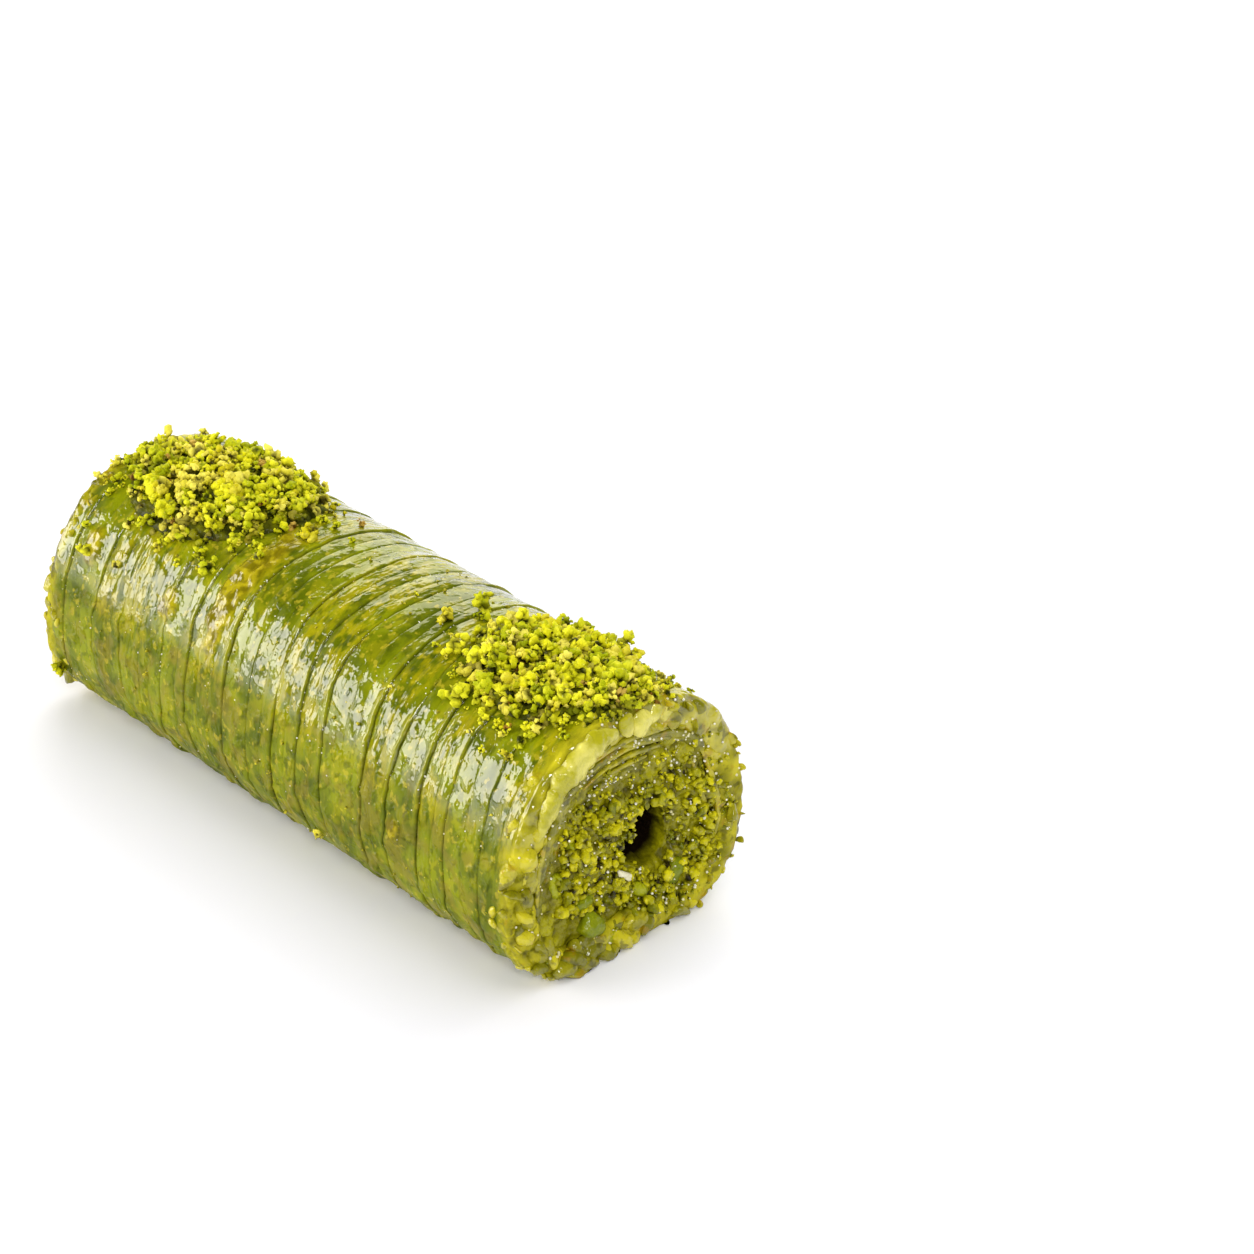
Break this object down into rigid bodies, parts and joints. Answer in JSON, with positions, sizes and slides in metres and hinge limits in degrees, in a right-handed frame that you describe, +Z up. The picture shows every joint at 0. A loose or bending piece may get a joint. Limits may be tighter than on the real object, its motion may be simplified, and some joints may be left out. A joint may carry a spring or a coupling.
{
  "type": "pistachio wrap baklava",
  "caption": "Green pastry roll with pleated, syrup-soaked skin, a wound inner sheet, ground pistachio filling round a hole, and crumbs on top.",
  "frame": {"origin": "middle of the flat underside, on the surface that the roll lies on", "axes": "+X along the roll towards the end that the picture shows, +Z up"},
  "size_m": [0.066, 0.0268, 0.025],
  "materials": {
    "soaked_pastry": "thin pastry soaked in syrup: deep green, partly see-through, wet and glossy",
    "ground_pistachio": "ground pistachio bound with syrup: yellow-green, grainy, with small wet glints"
  },
  "bodies": {
    "root": {"pastry_wrap": "soaked_pastry", "pistachio_filling": "ground_pistachio"}
  },
  "joints": []
}
